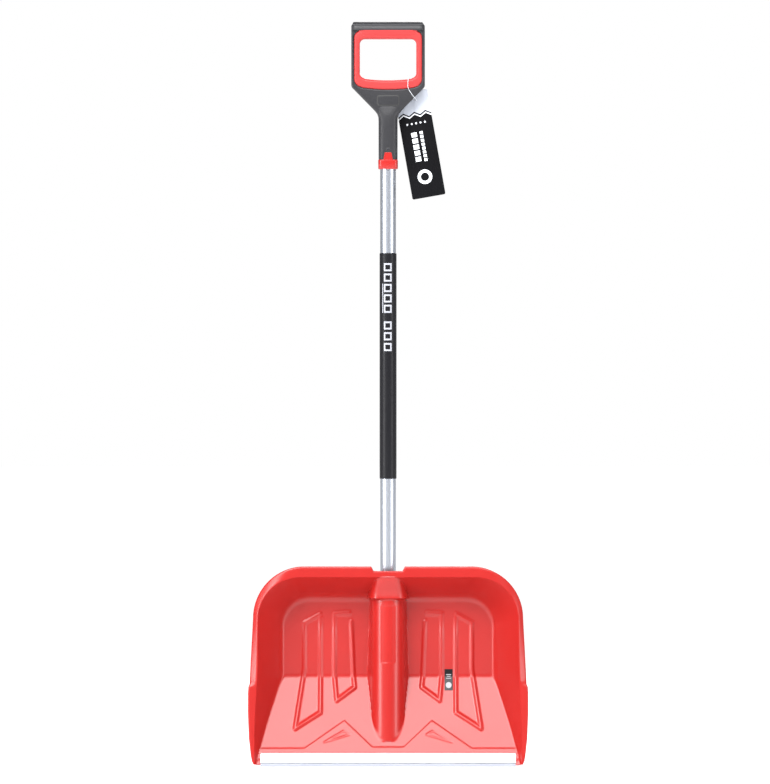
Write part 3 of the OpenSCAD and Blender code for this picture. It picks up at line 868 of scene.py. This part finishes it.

# %% [markdown]
# A blank badge sits in a shallow pocket of the web, and a screw in the neck holds the grip to the tube.
# Both are small, but they catch light at their edges, so they have real rounded edges. A thin dark plate
# round the badge is painted shade, standing in for the shadow in the gap at its edge, and the screw head sits
# in a shallow dark well.

# %% The badge and the painted shadow gap round it
BADGE_Z = 1188
BADGE_R = 4
badge_shape = both_sides([(14.4, BADGE_Z - 2 * BADGE_R)]
                         + arc_points(14.4, BADGE_Z - BADGE_R, BADGE_R, -90, 0)
                         + arc_points(14.4, BADGE_Z + BADGE_R, BADGE_R, 0, 90))
badge = rounded_plate("blank_badge", [badge_shape], SHAFT_Y - 12.4, SHAFT_Y - 9, 0.5, detail=3)
dress(badge, grip_grey, SHOVEL, "grey_plastic", "badge_plate")
# The dark plate round the badge is painted shade: it stands for the shadow in the gap at the badge's edge.
shadow_gap_shape = [(x * 1.09, BADGE_Z + (z - BADGE_Z) * 1.2) for x, z in badge_shape]
shadow_gap = rounded_plate("badge_shadow_gap", [shadow_gap_shape], SHAFT_Y - 12.06, SHAFT_Y - 11, 0.05, detail=1)
dress(shadow_gap, plug_black, SHOVEL, "grey_plastic")


# %% [markdown]
# Both screws have round heads with a cross recess. A star-shaped ring near the middle of the head gives
# the recess without cutting anything.

# %% The two screws
SHANK_R, SHANK_L = 2.0, 14
NECK_SCREW_Z, SOCKET_SCREW_Z = 1100, 180


def pan_screw(name, node, material, z, y_seat, out, radius, height):
    """A round-headed screw along Y with a cross recess, its head standing out in the direction of out."""
    rings = []
    profile = [(SHANK_R, SHANK_L), (SHANK_R, 0.2), (radius, 0.0), (radius, 0.35 * height),
               (radius * 0.93, 0.7 * height), (radius * 0.72, 0.94 * height), (radius * 0.45, height),
               (radius * 0.3, height * 0.55), (0.05, height * 0.4)]
    for r, along in profile:
        ring = []
        for a in round_angles(48):
            star = r * (1 - 0.45 * abs(math.sin(2 * a))) if r < radius * 0.5 else r
            y = y_seat + (out * along if along <= height else -out * along)
            ring.append((star * math.cos(a) * MM, y * MM, (z + star * math.sin(a)) * MM))
        rings.append(ring)
    skin(name, rings, material, SHOVEL, "screw_steel", node, sharp=35)


neck_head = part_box("handle_screw")[0][1] / MM
socket_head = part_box("blade_screw")[1][1] / MM
well_rings = turned([(2.9, 0), (2.9, 1.2), (4.1, 1.2), (4.3, 1.1), (4.3, 0), (2.9, 0)], 40)
upright = Matrix.Translation((0, NECK_FRONT * MM, NECK_SCREW_Z * MM)) @ STAND_UP
well_rings = [[tuple(upright @ Vector((x, y, z * 0.15))) for x, y, z in ring] for ring in well_rings]
skin("screw_well", well_rings, plug_black, SHOVEL, "grey_plastic", closed_ends=False)
pan_screw("neck_screw", "handle_screw", dark_steel, NECK_SCREW_Z, NECK_FRONT + 0.3, -1, 2.8, 0.7)
pan_screw("socket_screw", "blade_screw", zinc, SOCKET_SCREW_Z, socket_head - 2.2, 1, 3.6, 2.2)
print("screw heads at", round(neck_head, 2), "and", round(socket_head, 2), "mm, neck front at", NECK_FRONT)

# %% [markdown]
# The tag is a printed card. Its print is drawn from its own flat coordinates, X across and Y up in
# millimetres, stored as a UV map while the card still lies square. Then it is turned to its hanging lean
# and moved to its hole.

# %% The hang tag's card
TAG_LEAN = math.radians(10)
TAG_HOLE = Vector((42.3, SHAFT_Y + 14, 1193.3))
TAG_HALF, TAG_UP, TAG_DOWN, TAG_T = 30.0, 12.0, 180.0, 0.6
TAG_CORNER, TAG_HOLE_R = 3.0, 2.0
PRINT_UNIT = 100.0


def map_print(obj, flat):
    """Stores where each corner lies on the print, in hundreds of millimetres, as a UV map."""
    layer = obj.data.uv_layers.new(name="print")
    for corner, where in zip(obj.data.loops, layer.data):
        across, up = flat(obj.data.vertices[corner.vertex_index].co)
        where.uv = (across / PRINT_UNIT, up / PRINT_UNIT)


card_shape = both_sides(arc_points(TAG_HALF - TAG_CORNER, -TAG_DOWN + TAG_CORNER, TAG_CORNER, -90, 0, 6)
                        + arc_points(TAG_HALF - TAG_CORNER, TAG_UP - TAG_CORNER, TAG_CORNER, 0, 90, 6))
card_hole = [(TAG_HOLE_R * math.cos(-a), TAG_HOLE_R * math.sin(-a)) for a in round_angles(32)]
card = rounded_plate("hang_tag_card", [card_shape, card_hole], -TAG_T / 2, TAG_T / 2, 0.12, detail=2)
map_print(card, lambda spot: (spot.x / MM, spot.z / MM))
card.data.transform(Matrix.Translation(TAG_HOLE * MM) @ Matrix.Rotation(-TAG_LEAN, 4, "Y"))
print("card:", TAG_HALF * 2, "by", TAG_UP + TAG_DOWN, "mm")

# %% [markdown]
# A tiny toolkit of mask nodes draws the print: rectangles and discs as 0 or 1 masks that are joined.
# Masks made from simple distances keep every shape crisp at any size, which an image would not.

# %% Masks for printed shapes
class Print:
    """Builds masks from a piece's print map, measured in millimetres."""

    def __init__(self, material):
        self.nodes, self.links = material.node_tree.nodes, material.node_tree.links
        source = self.nodes.new("ShaderNodeUVMap")
        source.uv_map = "print"
        split = self.nodes.new("ShaderNodeSeparateXYZ")
        self.links.new(source.outputs["UV"], split.inputs["Vector"])
        self.x = self.math("MULTIPLY", split.outputs["X"], PRINT_UNIT)
        self.z = self.math("MULTIPLY", split.outputs["Y"], PRINT_UNIT)

    def math(self, operation, a, b=0.0):
        """One Math node, whose inputs are numbers or other nodes' outputs."""
        node = self.nodes.new("ShaderNodeMath")
        node.operation = operation
        for socket, value in zip(node.inputs, (a, b)):
            if isinstance(value, (int, float)):
                socket.default_value = value
            else:
                self.links.new(value, socket)
        return node.outputs["Value"]

    def box(self, x, z, half_x, half_z):
        """A mask that is 1 inside a rectangle round (x, z)."""
        across = self.math("LESS_THAN", self.math("ABSOLUTE", self.math("SUBTRACT", self.x, x)), half_x)
        up = self.math("LESS_THAN", self.math("ABSOLUTE", self.math("SUBTRACT", self.z, z)), half_z)
        return self.math("MULTIPLY", across, up)

    def disc(self, x, z, radius):
        """A mask that is 1 inside a disc round (x, z)."""
        dx = self.math("SUBTRACT", self.x, x)
        dz = self.math("SUBTRACT", self.z, z)
        square = self.math("ADD", self.math("MULTIPLY", dx, dx), self.math("MULTIPLY", dz, dz))
        return self.math("LESS_THAN", square, radius * radius)

    def total(self, masks):
        """A mask that is 1 where any of the masks is."""
        out = masks[0]
        for mask in masks[1:]:
            out = self.math("MAXIMUM", out, mask)
        return out

    def paint(self, ground, *layers):
        """Lays each (mask, colour) over the ground colour, the last on top."""
        below = None
        for mask, color in layers:
            mix = self.nodes.new("ShaderNodeMix")
            mix.data_type = "RGBA"
            self.links.new(mask, mix.inputs["Factor"])
            mix.inputs["A"].default_value = (*ground, 1)
            mix.inputs["B"].default_value = (*color, 1)
            if below:
                self.links.new(below, mix.inputs["A"])
            below = mix.outputs["Result"]
        self.links.new(below, self.nodes["Principled BSDF"].inputs["Base Color"])


# %% [markdown]
# The card is printed black with plain blocks, a ring and five dots under a toothed border, and its head
# stays white. The teeth are a zigzag of the place across, added to the border's height.

# %% The card's print
TOOTH, TOOTH_RISE = 10.0, 0.6
HEAD_FOOT, STRIPE_MID, STRIPE_HALF = -31.0, 35.0, 1.2
card_print = finish("tag_card_print", (0.5, 0.5, 0.5), 0.40, grain=1200, bump=0.05, Specular_IOR_Level=0.12)
ink = Print(card_print)
zigzag = ink.math("PINGPONG", ink.math("ADD", ink.x, TAG_HALF), TOOTH)
border = ink.math("SUBTRACT", ink.z, ink.math("MULTIPLY", zigzag, TOOTH_RISE))
white_head = ink.math("GREATER_THAN", border, HEAD_FOOT)
stripe = ink.math("LESS_THAN", ink.math("ABSOLUTE", ink.math("ADD", border, STRIPE_MID)), STRIPE_HALF)
dots = [ink.disc(-16 + 8 * k, -46, 1.7) for k in range(5)]
big_blocks = [ink.box(-7, -66 - 11 * k, 5, 4.2) for k in range(5)]
small_blocks = [ink.box(6, -64 - 7 * k, 2.8, 2.5) for k in range(8)]
ring = ink.math("SUBTRACT", ink.disc(-1, -143, 13), ink.disc(-1, -143, 7.5))
marks = ink.total([stripe, ring] + dots + big_blocks + small_blocks)
ink.paint((0.003, 0.003, 0.004), (white_head, (0.50, 0.53, 0.60)), (marks, (0.74, 0.76, 0.80)))
dress(card, card_print, TAG, "tag_card", "hang_tag")

# %% [markdown]
# The small sticker on the scoop bends over the crease, so it is a strip of film laid along the floor and
# the plate. It carries only a plain black head, grey lines and a grey disc.

# %% The label on the scoop
LABEL_X, LABEL_Z = (101.2, 115.8), (132.2, 169.8)
LABEL_MID = (sum(LABEL_X) / 2, sum(LABEL_Z) / 2)
LABEL_ROWS, LABEL_COLUMNS = 38, 8
LABEL_LIFT, LABEL_T = 0.15, 0.14
label_points, label_faces = [], []
for r in range(LABEL_ROWS + 1):
    z = LABEL_Z[0] + (LABEL_Z[1] - LABEL_Z[0]) * r / LABEL_ROWS
    for c in range(LABEL_COLUMNS + 1):
        x = LABEL_X[0] + (LABEL_X[1] - LABEL_X[0]) * c / LABEL_COLUMNS
        y = float(nearer(np.array(FLOOR_Y), np.array(z * PLATE_SLOPE), CREASE_ROUND)) - LABEL_LIFT
        label_points.append((x * MM, y * MM, z * MM))
for r in range(LABEL_ROWS):
    for c in range(LABEL_COLUMNS):
        a = r * (LABEL_COLUMNS + 1) + c
        label_faces.append((a, a + 1, a + LABEL_COLUMNS + 2, a + LABEL_COLUMNS + 1))
label = new_piece("scoop_label", label_points, label_faces)
map_print(label, lambda spot: (spot.x / MM - LABEL_MID[0], spot.z / MM - LABEL_MID[1]))
thick = label.modifiers.new("film", "SOLIDIFY")
thick.thickness = LABEL_T * MM
thick.offset = 0
apply_modifiers(label)
label_print = finish("label_print", (0.5, 0.5, 0.5), 0.45, bump=0.02, Specular_IOR_Level=0.15)
film = Print(label_print)
field = film.box(0, -7, 8, 13)
grey_marks = film.total([film.disc(0, -9.5, 5.2), film.box(0, 9, 4.5, 0.7), film.box(0, 6, 3.2, 0.5),
                         film.box(0, 2.5, 4.5, 0.5)])
film.paint((0.008, 0.008, 0.009), (field, (0.045, 0.047, 0.050)), (grey_marks, (0.33, 0.34, 0.36)))
dress(label, label_print, SHOVEL, "label_film", "blade_label")

# %% [markdown]
# The printed panel on the sleeve is a column of plain square frames beside a thin bar, facing forwards.
# Its UV map is the unrolled front of the sleeve.

# %% The sleeve's printed frames
PANEL_Z = 820
map_print(sleeve, lambda spot: (math.atan2(spot.x, -(spot.y - SHAFT_Y * MM)) * SLEEVE_R,
                                spot.z / MM - PANEL_Z))
sleeve_print = Print(sleeve_black)
FRAME_PLACES = [69.6, 51.0, 32.4, 13.8, -4.8, -34.6, -53.9, -73.2]
FRAME_X = -0.6
outer = sleeve_print.total([sleeve_print.box(FRAME_X, z, 7.2, 7.2) for z in FRAME_PLACES])
inner = sleeve_print.total([sleeve_print.box(FRAME_X, z, 4.4, 4.2) for z in FRAME_PLACES])
frames = sleeve_print.math("SUBTRACT", outer, inner)
side_bar = sleeve_print.box(-10.4, 14, 0.8, 26)
sleeve_print.paint((0.006, 0.006, 0.008), (sleeve_print.total([frames, side_bar]), (0.36, 0.37, 0.41)))
print("printed frames:", len(FRAME_PLACES))

# %% [markdown]
# The room is a plain pale floor under soft light. A big softbox hangs in front and above, where the
# leaning plate mirrors it, a broad sun gives the walls their shading, and weaker boxes fill the sides
# and the back.

# %% The floor
FLOOR_HALF, FLOOR_Z = 60, -0.001
floor_mesh = bpy.data.meshes.new("floor")
corners = [(x * FLOOR_HALF, y * FLOOR_HALF, FLOOR_Z) for x, y in ((-1, -1), (1, -1), (1, 1), (-1, 1))]
floor_mesh.from_pydata(corners, [], [(0, 1, 2, 3)])
floor = bpy.data.objects.new("floor", floor_mesh)
bpy.context.collection.objects.link(floor)
floor_white = bpy.data.materials.new("floor_white")
floor_white.use_nodes = True
floor_shader = floor_white.node_tree.nodes["Principled BSDF"]
floor_shader.inputs["Base Color"].default_value = (0.92, 0.92, 0.92, 1)
floor_shader.inputs["Roughness"].default_value = 0.9
floor_shader.inputs["Emission Color"].default_value = (1, 1, 1, 1)
floor_shader.inputs["Emission Strength"].default_value = 0.32
floor_mesh.materials.append(floor_white)
print("floor:", 2 * FLOOR_HALF, "m wide")


# %% [markdown]
# Large lights close to the object give wide soft reflections on glossy plastic, and small ones would give
# hard spots. Each softbox is turned towards a place it aims at.

# %% The lights
def softbox(name, place, aim, width, height, power):
    """A rectangular soft light at a place, turned towards its aim."""
    light = bpy.data.lights.new(name, "AREA")
    light.shape = "RECTANGLE"
    light.size, light.size_y = width, height
    light.energy = power
    obj = bpy.data.objects.new(name, light)
    obj.location = place
    obj.rotation_euler = (Vector(aim) - Vector(place)).to_track_quat("-Z", "Y").to_euler()
    bpy.context.collection.objects.link(obj)


softbox("overhead_front", (0, -1.9, 3.2), (0, 0, 0.1), 3.0, 1.3, 118)
key = bpy.data.lights.new("key", "SUN")
key.energy = 2.6
key.angle = math.radians(35)
sun = bpy.data.objects.new("key", key)
sun.rotation_euler = Vector((0.55, 1.0, -1.05)).to_track_quat("-Z", "Y").to_euler()
bpy.context.collection.objects.link(sun)
softbox("left_strip", (-3.0, -1.9, 1.0), (0, 0, 0.3), 1.0, 2.2, 84)
softbox("right_strip", (3.0, -1.9, 1.0), (0, 0, 0.3), 0.8, 2.2, 46)
softbox("back", (0.9, 3.0, 2.3), (0, 0, 0.6), 2.4, 1.6, 75)
# %% [markdown]
# The world lights gently but shows white to the camera, so the shovel stands on a clean ground without
# being flooded with light from behind.

# %% The world
WORLD_LIGHT, WORLD_SEEN = 0.24, 1.0
world = bpy.data.worlds.new("studio")
bpy.context.scene.world = world
world.use_nodes = True
sky = world.node_tree.nodes["Background"]
sky.inputs["Color"].default_value = (1, 1, 1, 1)
path = world.node_tree.nodes.new("ShaderNodeLightPath")
level = world.node_tree.nodes.new("ShaderNodeMapRange")
level.inputs["To Min"].default_value = WORLD_LIGHT
level.inputs["To Max"].default_value = WORLD_SEEN
world.node_tree.links.new(path.outputs["Is Camera Ray"], level.inputs["Value"])
world.node_tree.links.new(level.outputs["Result"], sky.inputs["Strength"])
bpy.context.scene.view_settings.view_transform = "Standard"
